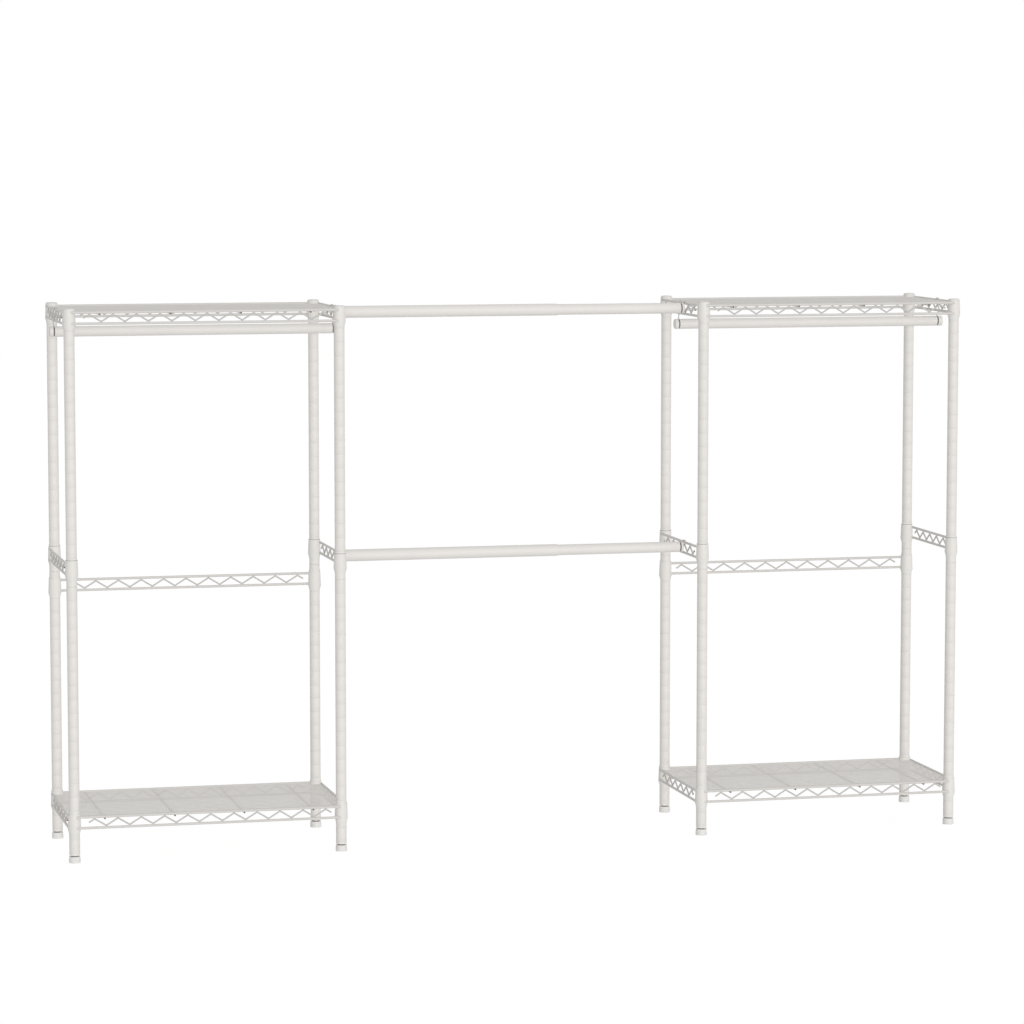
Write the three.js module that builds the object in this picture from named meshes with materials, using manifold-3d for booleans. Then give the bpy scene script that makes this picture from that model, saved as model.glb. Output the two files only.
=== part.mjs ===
// Open frame wardrobe: two wire-shelf towers joined by two telescopic hanging rods.
// Millimetres, +Z up. X runs along the rack and the front faces -Y. The origin is on the floor,
// in the middle of the footprint. Round stock is drawn with few sides: tubes have eight, whose
// flats lie at the true radius, and wires have four or six, whose corners lie on the true circle.

import * as THREE from 'three';
import { mergeVertices } from 'three/addons/utils/BufferGeometryUtils.js';
import Module from 'manifold-3d';

const wasm = await Module();
wasm.setup();

// The whole rack
const TOWER_WIDTH = 963; // between post axes along X
const TOWER_DEPTH = 494; // between post axes along Y
const SPAN = 1351; // between the inner posts of the two towers
const POST_TOP = 1962;
const BOTTOM_SHELF_HEIGHT = 164.5; // to the axis of a shelf's or truss's upper wire
const BACK_TRUSS_HEIGHT = 950.5;
const SIDE_TRUSS_HEIGHT = 1068;

// Clearances and joints
const FIT_GAP = 0.3; // between pieces that touch
const CUT_OVERRUN = 5; // how far a cutting tool runs past what it cuts
const WELD_DEPTH = 0.5; // how far welded wires sink into each other

// Posts: a lower and an upper tube, each with its split sleeves clipped round it
const POST_DIAMETER = 38;
const TUBE_WALL = 1.2;
const GROOVE_PITCH = 50;
const FIRST_GROOVE = 36;
const GROOVES_BELOW_SEAM = 19; // the two tubes meet on this groove
const SPIGOT_LENGTH = 30; // the reduced end of the upper tube inside the lower one
const FOOT_INSERT_LENGTH = 20; // threaded insert at the bottom of the lower tube

// Sleeve and collar: a cone in a cone, wider at the bottom, so that load locks them
const COLLAR_ABOVE = 10.5; // collar top over the upper wire's axis
const COLLAR_BELOW = 7; // collar bottom under the lower wire's axis
const SLEEVE_TOP_WALL = 1.2;
const SLEEVE_WALL = 3.5; // at the collar's bottom
const SLEEVE_TAIL = 13.5; // tapered end under the collar
const COLLAR_WALL = 1;

// Trusses: two straight wires with a zigzag wire between them. They run along the outer
// side of the collars, so that the posts stand inside them.
const FRAME_WIRE = 9.2;
const ZIGZAG_WIRE = 5.8;
const TRUSS_RISE = 39; // between the axes of the two straight wires
const TRUSS_OUTSET = 19.5; // from the post axes out to the wires' axes
const WIRE_END_SHORT = 4.5; // how far the straight wires end before the post axes
const LONG_PEAKS = 11;
const LONG_PEAK_INSET = 65; // first and last peak from the post axes, before the shift
const LONG_PEAK_SHIFT = 4.5; // the long zigzags sit off centre, toward +X
const SIDE_PEAKS = 6;
const SIDE_PEAK_INSET = 60;

// Shelf deck
const DECK_WIRE = 5.2;
const DECK_WIRES = 17; // from side truss to side truss
const CROSS_WIRE = 6;
const CROSS_WIRES = 4;
const CROSS_WIRE_INSET = 106; // first cross wire from the post axis

// Feet and caps
const FOOT_HEIGHT = 21;
const FOOT_BASE_DIAMETER = 41.4;
const FOOT_TOP_DIAMETER = 39.4;
const FOOT_NECK_DIAMETER = 24;
const FOOT_NECK_HEIGHT = 4;
const FOOT_STEM_DIAMETER = 10;
const FOOT_STEM_LENGTH = 34; // above the neck
const CAP_PLUG_DEPTH = 12;
const CAP_RIM = 1.2; // cap radius over the post's radius
const CAP_EDGE = 1.8; // height of the cap's edge
const CAP_CROWN = 4; // full height of the cap over the post
const CAP_CROWN_SHARE = 0.7; // radius where the crown begins, of the cap's radius

// Hanging rods, one under each top shelf
const HANGING_ROD_DIAMETER = 37;
const HANGING_ROD_DROP = 78.5; // from the shelf's upper wire down to the rod's axis
const HANGING_RING_REACH = 3.5; // hook ring outside the side truss

// Telescopic rods between the towers
const OUTER_TUBE_DIAMETER = 43;
const INNER_TUBE_DIAMETER = 39;
const SPAN_ROD_DROP = 17.5; // from the truss's upper wire down to the rod's axis
const SPAN_RING_REACH = 16; // hook ring inside the gap, from the side truss
const OUTER_TUBE_LENGTH = 796; // straight part, before the drawn-in end
const OUTER_TUBE_NECK_IN = 14;
const INNER_TUBE_LENGTH = 795;

// Rod ends: a plug with a neck, and a wire hook whose ring goes round the neck
const PLUG_STEM_LENGTH = 20;
const NECK_DIAMETER = 22;
const NECK_WIDTH = 5;
const HANGING_HEAD_LENGTH = 16.5;
const SPAN_HEAD_LENGTH = 8;
const HEAD_ROUNDING = 2.5;
const HOOK_WIRE = 4;
const RING_SIDES = 6;
const HOOK_TIP_DROP = 8; // hook tip under the truss wire's axis
const HOOK_TIP_FLARE = 1.2;
const HOOK_LEAN_SHARE = 0.3; // share of a hanging hook's rise in which it leans outward

// Colours
const POWDER_COAT = 0xe9e6e0;
const PLASTIC_WHITE = 0xe4e2dd;

// Worked out from the sizes above
const POST_RADIUS = POST_DIAMETER / 2;
const BORE_RADIUS = POST_RADIUS - TUBE_WALL;
const SEAM_HEIGHT = FIRST_GROOVE + GROOVES_BELOW_SEAM * GROOVE_PITCH;
const POST_BOTTOM = FOOT_HEIGHT + FOOT_NECK_HEIGHT;
const TOP_SHELF_HEIGHT = POST_TOP - COLLAR_ABOVE;
const TOWER_CENTRE = (SPAN + TOWER_WIDTH) / 2;
const DECK_PITCH = TOWER_DEPTH / (DECK_WIRES + 1);
const HANGING_ROD_Y = -DECK_PITCH / 2; // hooks drop between two deck wires
const SPAN_ROD_Y = HANGING_ROD_Y - 2 * DECK_PITCH;
const TUBE_SIDES = 8;
const WIRE_SIDES = 6;
const WIRE_FLAT = (FRAME_WIRE / 2) * Math.cos(Math.PI / WIRE_SIDES); // axis to a wire's flat top
const THIN_SIDES = 4;
const RING_BORE = NECK_DIAMETER / 2 / Math.cos(Math.PI / TUBE_SIDES) + FIT_GAP;

const X = new THREE.Vector3(1, 0, 0);
const Y = new THREE.Vector3(0, 1, 0);
const Z = new THREE.Vector3(0, 0, 1);
const ALONG_X = new THREE.Matrix4().makeBasis(Y, Z, X);
const ALONG_Y = new THREE.Matrix4().makeBasis(X, Z.clone().negate(), Y);
const UPRIGHT = new THREE.Matrix4().makeBasis(X, Z, Y.clone().negate());
const QUARTER_TURN = new THREE.Matrix4().makeRotationZ(Math.PI / 2);

// Shape helpers

// A turned solid about Z. The profile is a list of [radius, height] pairs: it closes on
// itself, or starts and ends on the axis.
function turned(profile, sides = TUBE_SIDES) {
  const corner = 1 / Math.cos(Math.PI / sides);
  const onAxis = profile[0][0] === 0;
  const points = profile.map(([r, z]) => new THREE.Vector2(r * corner, z));
  if (!onAxis) points.push(points[0].clone());
  const lathe = new THREE.LatheGeometry(points, sides, Math.PI / sides);
  return lathe.rotateX(Math.PI / 2);
}

// A straight wire of few sides, its corners on the true circle and a flat face up.
function wire(diameter, sides, length, alongAxis) {
  const section = new THREE.Shape();
  for (let i = 0; i < sides; i += 1) {
    const angle = -Math.PI / 2 + (Math.PI / sides) * (2 * i + 1);
    const x = (diameter / 2) * Math.cos(angle);
    const y = (diameter / 2) * Math.sin(angle);
    if (i === 0) section.moveTo(x, y);
    else section.lineTo(x, y);
  }
  section.closePath();
  const bar = new THREE.ExtrudeGeometry(section, { depth: length, bevelEnabled: false });
  return bar.translate(0, 0, -length / 2).applyMatrix4(alongAxis);
}

// A bent wire that lies in the XZ plane, of square section, with mitred bends.
function bentWire(path, side) {
  const left = [];
  const right = [];
  path.forEach((point, i) => {
    const before = path[Math.max(i - 1, 0)];
    const after = path[Math.min(i + 1, path.length - 1)];
    const a = new THREE.Vector2().subVectors(point, before).normalize();
    const b = new THREE.Vector2().subVectors(after, point).normalize();
    if (i === 0) a.copy(b);
    if (i === path.length - 1) b.copy(a);
    const mitre = new THREE.Vector2(-a.y - b.y, a.x + b.x).normalize();
    const reach = side / 2 / mitre.dot(new THREE.Vector2(-a.y, a.x));
    left.push(point.clone().addScaledVector(mitre, reach));
    right.push(point.clone().addScaledVector(mitre, -reach));
  });
  const outline = new THREE.Shape(left.concat(right.reverse()));
  const strip = new THREE.ExtrudeGeometry(outline, { depth: side, bevelEnabled: false });
  return strip.translate(0, 0, -side / 2).applyMatrix4(UPRIGHT);
}

function toSolid(geometry) {
  const bare = geometry.clone();
  bare.deleteAttribute('normal');
  bare.deleteAttribute('uv');
  const merged = mergeVertices(bare);
  const corners = merged.index.array;
  const triVerts = [];
  for (let i = 0; i < corners.length; i += 3) {
    const [a, b, c] = [corners[i], corners[i + 1], corners[i + 2]];
    if (a !== b && b !== c && c !== a) triVerts.push(a, b, c);
  }
  return new wasm.Manifold(
    new wasm.Mesh({
      numProp: 3,
      vertProperties: new Float32Array(merged.attributes.position.array),
      triVerts: new Uint32Array(triVerts),
    }),
  );
}

function fromSolid(solid) {
  const { vertProperties, triVerts } = solid.getMesh();
  const geometry = new THREE.BufferGeometry();
  geometry.setAttribute('position', new THREE.BufferAttribute(vertProperties, 3));
  geometry.setIndex(new THREE.BufferAttribute(triVerts, 1));
  geometry.computeVertexNormals();
  return geometry;
}

function joined(geometries) {
  return geometries.map(toSolid).reduce((all, next) => all.add(next));
}

function moved(geometry, x, y, z) {
  return geometry.clone().translate(x, y, z);
}

// Materials

function powderCoat() {
  return new THREE.MeshStandardMaterial({
    color: POWDER_COAT,
    roughness: 0.5,
    metalness: 0.1,
    flatShading: true,
  });
}

function whitePlastic() {
  return new THREE.MeshStandardMaterial({
    color: PLASTIC_WHITE,
    roughness: 0.6,
    metalness: 0,
    flatShading: true,
  });
}

// Posts with their sleeves

function collarSpan(height) {
  return [height - TRUSS_RISE - COLLAR_BELOW, height + COLLAR_ABOVE];
}

// Outline of the clipped sleeves up the outside of a post, from the lowest to the highest.
function sleeveOutline(heights) {
  return heights.flatMap((height) => {
    const [bottom, top] = collarSpan(height);
    return [
      [POST_RADIUS, bottom - SLEEVE_TAIL],
      [POST_RADIUS + SLEEVE_WALL, bottom],
      [POST_RADIUS + SLEEVE_TOP_WALL, top],
      [POST_RADIUS, top],
    ];
  });
}

function lowerPost(heights) {
  const threadRadius = FOOT_STEM_DIAMETER / 2 + FIT_GAP;
  return turned([
    [threadRadius, POST_BOTTOM],
    [POST_RADIUS, POST_BOTTOM],
    ...sleeveOutline(heights),
    [POST_RADIUS, SEAM_HEIGHT],
    [BORE_RADIUS, SEAM_HEIGHT],
    [BORE_RADIUS, POST_BOTTOM + FOOT_INSERT_LENGTH],
    [threadRadius, POST_BOTTOM + FOOT_INSERT_LENGTH],
  ]);
}

// The top sleeve ends flush with the post's top edge.
function upperPost(heights) {
  const bottom = SEAM_HEIGHT + FIT_GAP;
  const spigotRadius = BORE_RADIUS - FIT_GAP;
  const spigotBore = spigotRadius - TUBE_WALL;
  return turned([
    [spigotBore, bottom - SPIGOT_LENGTH],
    [spigotRadius, bottom - SPIGOT_LENGTH],
    [spigotRadius, bottom],
    [POST_RADIUS, bottom],
    ...sleeveOutline(heights),
    [BORE_RADIUS, POST_TOP],
    [BORE_RADIUS, bottom + TUBE_WALL],
    [spigotBore, bottom + TUBE_WALL],
  ]);
}

function levellingFoot() {
  const neckTop = POST_BOTTOM - FIT_GAP;
  return turned([
    [0, 0],
    [FOOT_BASE_DIAMETER / 2, 0],
    [FOOT_TOP_DIAMETER / 2, FOOT_HEIGHT],
    [FOOT_NECK_DIAMETER / 2, FOOT_HEIGHT],
    [FOOT_NECK_DIAMETER / 2, neckTop],
    [FOOT_STEM_DIAMETER / 2, neckTop],
    [FOOT_STEM_DIAMETER / 2, neckTop + FOOT_STEM_LENGTH],
    [0, neckTop + FOOT_STEM_LENGTH],
  ]);
}

function postCap() {
  const seat = POST_TOP + FIT_GAP;
  const plugRadius = BORE_RADIUS - FIT_GAP;
  const capRadius = POST_RADIUS + CAP_RIM;
  return turned([
    [0, seat - CAP_PLUG_DEPTH],
    [plugRadius, seat - CAP_PLUG_DEPTH],
    [plugRadius, seat],
    [capRadius, seat],
    [capRadius, seat + CAP_EDGE],
    [capRadius * CAP_CROWN_SHARE, seat + CAP_CROWN],
    [0, seat + CAP_CROWN],
  ]);
}

// Trusses and shelves, drawn with the upper wire's axis at height zero

// Radius of the collars' bore at a height: a cone that clears the sleeve all the way up.
function collarBore(z) {
  const [bottom, top] = collarSpan(0);
  const taper = (SLEEVE_WALL - SLEEVE_TOP_WALL) / (top - bottom);
  return POST_RADIUS + FIT_GAP + SLEEVE_TOP_WALL + taper * (top - z);
}

// Collars as full cones, and the bores that are cut through them afterwards.
function collarCone(wall, overrun) {
  const [bottom, top] = collarSpan(0);
  return turned([
    [0, bottom - overrun],
    [collarBore(bottom - overrun) + wall, bottom - overrun],
    [collarBore(top + overrun) + wall, top + overrun],
    [0, top + overrun],
  ]);
}

// A straight wire of a truss. It lies against the outer side of the collars, and ends a
// little before the post axes.
function frameWire(length, z) {
  const bar = wire(FRAME_WIRE, WIRE_SIDES, length - 2 * WIRE_END_SHORT, ALONG_X);
  return moved(bar, 0, 0, z);
}

// A truss along X between two post axes. The zigzag starts and ends half way down a leg,
// and its bends sink into the straight wires by the weld depth.
function truss(length, peaks, inset, shift) {
  const pitch = (length - 2 * inset) / (peaks - 1);
  const side = ZIGZAG_WIRE * Math.SQRT1_2;
  const inner = TRUSS_RISE - 2 * (WIRE_FLAT - WELD_DEPTH);
  const slope = Math.atan2(inner, pitch / 2);
  const bend = side / 2 / Math.cos(slope);
  const high = WELD_DEPTH - WIRE_FLAT - bend;
  const low = -TRUSS_RISE - high;
  const path = [];
  for (let i = 0; i < peaks; i += 1) {
    const x = -length / 2 + inset + shift + i * pitch;
    if (i > 0) path.push(new THREE.Vector2(x - pitch / 2, low));
    path.push(new THREE.Vector2(x, high));
  }
  const stub = new THREE.Vector2(-pitch / 4, (low - high) / 2);
  path.unshift(path[0].clone().add(stub));
  stub.x = -stub.x;
  path.push(path[path.length - 1].clone().add(stub));
  return [frameWire(length, 0), frameWire(length, -TRUSS_RISE), bentWire(path, side)];
}

// A truss between two posts that stand side by side, with its wires toward +Y or -Y.
function longTruss(side) {
  const pieces = truss(TOWER_WIDTH, LONG_PEAKS, LONG_PEAK_INSET, LONG_PEAK_SHIFT);
  return pieces.map((piece) => moved(piece, 0, side * TRUSS_OUTSET, 0));
}

// A truss between a front and a back post, with its wires toward +X or -X.
function sideTruss(side) {
  const pieces = truss(TOWER_DEPTH, SIDE_PEAKS, SIDE_PEAK_INSET, 0);
  return pieces.map((piece) => moved(piece.applyMatrix4(QUARTER_TURN), side * TRUSS_OUTSET, 0, 0));
}

// Wires welded to a collar at each corner, with the collars bored for the sleeves.
function withCollars(wires, corners) {
  const cone = collarCone(COLLAR_WALL, 0);
  const bore = collarCone(0, CUT_OVERRUN);
  const collars = corners.map(([x, y]) => moved(cone, x, y, 0));
  const bores = corners.map(([x, y]) => moved(bore, x, y, 0));
  return fromSolid(joined(wires.concat(collars)).subtract(joined(bores)));
}

// The deck's long wires lie just over the cross wires and are welded to the side trusses,
// but the first and the last, which stand in line with the posts, end in the collar walls.
// The cross wires pass under the upper wires of the front and back trusses.
function deck() {
  const crossHalf = (CROSS_WIRE / 2) * Math.SQRT1_2;
  const deckHalf = (DECK_WIRE / 2) * Math.SQRT1_2;
  const crossTop = WELD_DEPTH - WIRE_FLAT;
  const deckAxis = crossTop + FIT_GAP + deckHalf;
  const crossPitch = (TOWER_WIDTH - 2 * CROSS_WIRE_INSET) / (CROSS_WIRES - 1);
  const collarMiddle = collarBore(deckAxis) + COLLAR_WALL / 2;
  const pieces = [];
  for (let i = 0; i <= DECK_WIRES + 1; i += 1) {
    const y = i * DECK_PITCH - TOWER_DEPTH / 2;
    const reach = i > 0 && i <= DECK_WIRES ? TRUSS_OUTSET : -collarMiddle;
    const bar = wire(DECK_WIRE, THIN_SIDES, TOWER_WIDTH + 2 * reach, ALONG_X);
    pieces.push(moved(bar, 0, y, deckAxis));
  }
  for (let i = 0; i < CROSS_WIRES; i += 1) {
    const x = CROSS_WIRE_INSET + i * crossPitch - TOWER_WIDTH / 2;
    const length = TOWER_DEPTH + 2 * TRUSS_OUTSET + FRAME_WIRE;
    const cross = wire(CROSS_WIRE, THIN_SIDES, length, ALONG_Y);
    pieces.push(moved(cross, x, 0, crossTop - crossHalf));
  }
  return pieces;
}

function shelf() {
  const wires = deck();
  const corners = [];
  for (const s of [-1, 1]) {
    const y = (s * TOWER_DEPTH) / 2;
    wires.push(...longTruss(s).map((piece) => moved(piece, 0, y, 0)));
    wires.push(...sideTruss(s).map((piece) => moved(piece, (s * TOWER_WIDTH) / 2, 0, 0)));
    corners.push([-TOWER_WIDTH / 2, y], [TOWER_WIDTH / 2, y]);
  }
  return withCollars(wires, corners);
}

function collaredSideTruss() {
  return withCollars(sideTruss(1), [
    [0, -TOWER_DEPTH / 2],
    [0, TOWER_DEPTH / 2],
  ]);
}

function collaredBackTruss() {
  return withCollars(longTruss(1), [
    [-TOWER_WIDTH / 2, 0],
    [TOWER_WIDTH / 2, 0],
  ]);
}

// Rods. Each is turned about Z and laid along X by its mesh.

// Outline of a rod end, from inside the tube outward: stem, neck and rounded head. The
// tube's end is at height zero.
function plugOutline(stemRadius, headRadius, headLength) {
  const neck = NECK_DIAMETER / 2;
  const end = NECK_WIDTH + headLength;
  return [
    [stemRadius, -PLUG_STEM_LENGTH],
    [stemRadius, 0],
    [neck, 0],
    [neck, NECK_WIDTH],
    [headRadius, NECK_WIDTH],
    [headRadius, end - HEAD_ROUNDING],
    [headRadius - HEAD_ROUNDING, end],
  ];
}

function rodPlug() {
  const radius = HANGING_ROD_DIAMETER / 2;
  const outline = plugOutline(radius - TUBE_WALL - FIT_GAP, radius, HANGING_HEAD_LENGTH);
  return turned([
    [0, -PLUG_STEM_LENGTH],
    ...outline,
    [0, NECK_WIDTH + HANGING_HEAD_LENGTH],
  ]);
}

function hangingTube(length) {
  const radius = HANGING_ROD_DIAMETER / 2;
  return turned([
    [radius - TUBE_WALL, -length / 2],
    [radius, -length / 2],
    [radius, length / 2],
    [radius - TUBE_WALL, length / 2],
  ]);
}

// A span tube from its plugged end at height zero down to its open end. The plug is a
// press fit for good, so it is one piece with the tube. The mouth is the outline of the
// open end, from the bore outward.
function spanTube(diameter, mouth) {
  const radius = diameter / 2;
  const bore = radius - TUBE_WALL;
  const [, , ...head] = plugOutline(bore, radius, SPAN_HEAD_LENGTH);
  return turned([
    [0, -PLUG_STEM_LENGTH],
    [bore, -PLUG_STEM_LENGTH],
    ...mouth,
    [radius, 0],
    ...head,
    [0, NECK_WIDTH + SPAN_HEAD_LENGTH],
  ]);
}

function innerSpanTube() {
  const radius = INNER_TUBE_DIAMETER / 2;
  return spanTube(INNER_TUBE_DIAMETER, [
    [radius - TUBE_WALL, -INNER_TUBE_LENGTH],
    [radius, -INNER_TUBE_LENGTH],
  ]);
}

// The outer tube's open end is drawn in to guide the inner tube.
function outerSpanTube() {
  const radius = OUTER_TUBE_DIAMETER / 2;
  const mouth = INNER_TUBE_DIAMETER / 2 + FIT_GAP;
  const end = -OUTER_TUBE_LENGTH - OUTER_TUBE_NECK_IN;
  return spanTube(OUTER_TUBE_DIAMETER, [
    [radius - TUBE_WALL, -OUTER_TUBE_LENGTH],
    [mouth, end],
    [mouth + TUBE_WALL, end],
    [radius, -OUTER_TUBE_LENGTH],
  ]);
}

// A wire hook: a ring about X round the rod's neck, and a bent wire that rises clear of the
// rod's head and goes over the truss's upper wire. Its origin is the rod's axis at the truss.
// A long hook first leans out, to rise past the truss's lower wire.
function hook(reach, drop, headRadius, long) {
  const half = (HOOK_WIRE / 2) * Math.SQRT1_2;
  const ring = turned(
    [
      [RING_BORE, -half],
      [RING_BORE + 2 * half, -half],
      [RING_BORE + 2 * half, half],
      [RING_BORE, half],
    ],
    RING_SIDES,
  ).applyMatrix4(new THREE.Matrix4().makeRotationY(Math.PI / 2));
  const facet = Math.PI / WIRE_SIDES;
  const arch = FRAME_WIRE / 2 + (FIT_GAP + half) / Math.cos(facet);
  const overHead = headRadius + FIT_GAP + half;
  const path = [new THREE.Vector2(reach, RING_BORE + half), new THREE.Vector2(reach, overHead)];
  if (long) {
    path.push(new THREE.Vector2(arch, overHead + (drop - overHead) * HOOK_LEAN_SHARE));
  }
  for (let i = long ? 0 : 1; i <= WIRE_SIDES / 2; i += 1) {
    const angle = 2 * facet * i;
    path.push(new THREE.Vector2(arch * Math.cos(angle), drop + arch * Math.sin(angle)));
  }
  path.push(new THREE.Vector2(-arch - HOOK_TIP_FLARE, drop - HOOK_TIP_DROP));
  return fromSolid(joined([moved(ring, reach, 0, 0), bentWire(path, 2 * half)]));
}

// Assembly

const rack = new THREE.Group();

function place(name, geometry, material, x, y, z, turn = 0) {
  const mesh = new THREE.Mesh(geometry, material);
  mesh.name = name;
  mesh.position.set(x, y, z);
  mesh.rotation.z = turn;
  rack.add(mesh);
  return mesh;
}

// A piece turned about Z, laid along X, with its top toward +X or -X.
function layDown(name, geometry, material, x, y, z, direction) {
  const laid = geometry.clone().applyMatrix4(new THREE.Matrix4().makeRotationY(Math.PI / 2));
  return place(name, laid, material, x, y, z, direction > 0 ? 0 : Math.PI);
}

const shelfShape = shelf();
const sideTrussShape = collaredSideTruss();
const backTrussShape = collaredBackTruss();
const footShape = levellingFoot();
const capShape = postCap();
const plugShape = rodPlug();
const hangingHookShape = hook(
  HANGING_RING_REACH,
  HANGING_ROD_DROP,
  HANGING_ROD_DIAMETER / 2,
  true,
);
const spanHookShape = hook(SPAN_RING_REACH, SPAN_ROD_DROP, OUTER_TUBE_DIAMETER / 2, false);
const outerTubeShape = outerSpanTube();
const innerTubeShape = innerSpanTube();
const postShapes = {
  front: {
    lower: lowerPost([BOTTOM_SHELF_HEIGHT]),
    upper: upperPost([SIDE_TRUSS_HEIGHT, TOP_SHELF_HEIGHT]),
  },
  back: {
    lower: lowerPost([BOTTOM_SHELF_HEIGHT, BACK_TRUSS_HEIGHT]),
    upper: upperPost([SIDE_TRUSS_HEIGHT, TOP_SHELF_HEIGHT]),
  },
};

function addHangingRod(tower, centre, side) {
  const z = TOP_SHELF_HEIGHT - HANGING_ROD_DROP;
  const trussX = TOWER_WIDTH / 2 + TRUSS_OUTSET;
  const tubeEnd = trussX + HANGING_RING_REACH - NECK_WIDTH / 2;
  const tube = hangingTube(2 * tubeEnd);
  layDown(`${tower}_hanging_rod`, tube, powderCoat(), centre, HANGING_ROD_Y, z, 1);
  for (const [end, direction] of [['outer', side], ['inner', -side]]) {
    const plugX = centre + direction * tubeEnd;
    const name = `${tower}_${end}_rod`;
    layDown(`${name}_plug`, plugShape, whitePlastic(), plugX, HANGING_ROD_Y, z, direction);
    const hookX = centre + direction * trussX;
    const turn = direction > 0 ? 0 : Math.PI;
    place(`${name}_hook`, hangingHookShape, powderCoat(), hookX, HANGING_ROD_Y, z, turn);
  }
}

function addTower(tower, side) {
  const centre = side * TOWER_CENTRE;
  for (const [column, direction] of [['outer', side], ['inner', -side]]) {
    const x = centre + (direction * TOWER_WIDTH) / 2;
    for (const [row, y] of [['front', -TOWER_DEPTH / 2], ['back', TOWER_DEPTH / 2]]) {
      const name = `${tower}_${column}_${row}`;
      place(`${name}_foot`, footShape, whitePlastic(), x, y, 0);
      place(`${name}_lower_post`, postShapes[row].lower, powderCoat(), x, y, 0);
      place(`${name}_upper_post`, postShapes[row].upper, powderCoat(), x, y, 0);
      place(`${name}_cap`, capShape, whitePlastic(), x, y, 0);
    }
    const name = `${tower}_${column}_side_truss`;
    const turn = direction > 0 ? 0 : Math.PI;
    place(name, sideTrussShape, powderCoat(), x, 0, SIDE_TRUSS_HEIGHT, turn);
  }
  place(`${tower}_bottom_shelf`, shelfShape, powderCoat(), centre, 0, BOTTOM_SHELF_HEIGHT);
  place(`${tower}_top_shelf`, shelfShape, powderCoat(), centre, 0, TOP_SHELF_HEIGHT);
  const backY = TOWER_DEPTH / 2;
  place(`${tower}_back_truss`, backTrussShape, powderCoat(), centre, backY, BACK_TRUSS_HEIGHT);
  addHangingRod(tower, centre, side);
}

// The outer tube hangs on the left tower and the inner tube on the right one.
function addSpanRod(level, trussHeight) {
  const z = trussHeight - SPAN_ROD_DROP;
  const trussX = SPAN / 2 - TRUSS_OUTSET;
  const endX = trussX - SPAN_RING_REACH - NECK_WIDTH / 2;
  layDown(`${level}_span_outer_tube`, outerTubeShape, powderCoat(), -endX, SPAN_ROD_Y, z, -1);
  layDown(`${level}_span_inner_tube`, innerTubeShape, powderCoat(), endX, SPAN_ROD_Y, z, 1);
  place(`${level}_span_left_hook`, spanHookShape, powderCoat(), -trussX, SPAN_ROD_Y, z, 0);
  place(`${level}_span_right_hook`, spanHookShape, powderCoat(), trussX, SPAN_ROD_Y, z, Math.PI);
}

addTower('left', -1);
addTower('right', 1);
addSpanRod('upper', TOP_SHELF_HEIGHT);
addSpanRod('lower', SIDE_TRUSS_HEIGHT);

export default rack;
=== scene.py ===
# Open frame wardrobe: two wire-shelf towers joined by two telescopic hanging rods.
# Lengths are in metres, +Z is up, X runs along the rack and the front faces -Y.
import math

import bmesh
import bpy
from mathutils import Matrix, Vector


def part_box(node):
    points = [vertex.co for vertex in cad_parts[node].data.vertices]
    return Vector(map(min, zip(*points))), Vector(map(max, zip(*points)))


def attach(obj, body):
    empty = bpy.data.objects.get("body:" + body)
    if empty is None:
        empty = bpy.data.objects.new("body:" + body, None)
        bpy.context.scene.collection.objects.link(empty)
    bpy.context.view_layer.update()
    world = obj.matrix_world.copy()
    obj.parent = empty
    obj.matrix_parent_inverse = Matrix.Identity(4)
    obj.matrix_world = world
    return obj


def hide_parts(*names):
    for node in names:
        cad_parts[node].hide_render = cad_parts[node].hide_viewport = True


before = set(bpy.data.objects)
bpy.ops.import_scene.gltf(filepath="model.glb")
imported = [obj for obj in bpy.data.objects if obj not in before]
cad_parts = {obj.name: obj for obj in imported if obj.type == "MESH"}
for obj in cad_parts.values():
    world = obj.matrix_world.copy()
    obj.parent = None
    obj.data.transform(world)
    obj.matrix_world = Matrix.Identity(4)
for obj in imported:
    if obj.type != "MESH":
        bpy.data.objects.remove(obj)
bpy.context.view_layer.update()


# Viewpoint
# The rack is seen from its left, from a little over its own height, through a long lens.
CAMERA_PLACE = (-3.3401, -13.8328, 2.6002)
CAMERA_TILT = math.radians(84.332)
CAMERA_TURN = math.radians(-13.644)
CAMERA_LENS = 136.66  # in millimetres
CAMERA_SENSOR = 36  # in millimetres


def stand(name, data, place, turn=(0, 0, 0)):
    """A camera or lamp in the scene."""
    thing = bpy.data.objects.new(name, data)
    thing.location = place
    thing.rotation_euler = turn
    bpy.context.scene.collection.objects.link(thing)
    return thing


lens = bpy.data.cameras.new("long_lens")
lens.lens = CAMERA_LENS
lens.sensor_width = CAMERA_SENSOR
bpy.context.scene.camera = stand(
    "viewpoint", lens, CAMERA_PLACE, (CAMERA_TILT, 0, CAMERA_TURN)
)


# Studio
# A white sweep and an even white surround. A broad front fill, which throws no shadow of
# its own, lets round stock fall off towards its edges. The floor keeps the surround's shadow.
WHITE = (1, 1, 1, 1)
SURROUND_STRENGTH = 0.60  # on the rack; the camera sees it at full strength
FILL_STRENGTH = 1.28
FILL_SOFTNESS = math.radians(40)
FILL_RISE = math.radians(7)
FILL_TURN = math.radians(8)  # it comes from this far right of straight ahead
FILL_PLACE = (0, -6, 4)
FLOOR_REACH = 30.0
FLOOR_WHITE = (0.9, 0.9, 0.895, 1)
FLOOR_GLOW = 1.07
FLOOR_GLOW_SHARE = 0.86  # how far the floor looks like plain white to the camera


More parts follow.
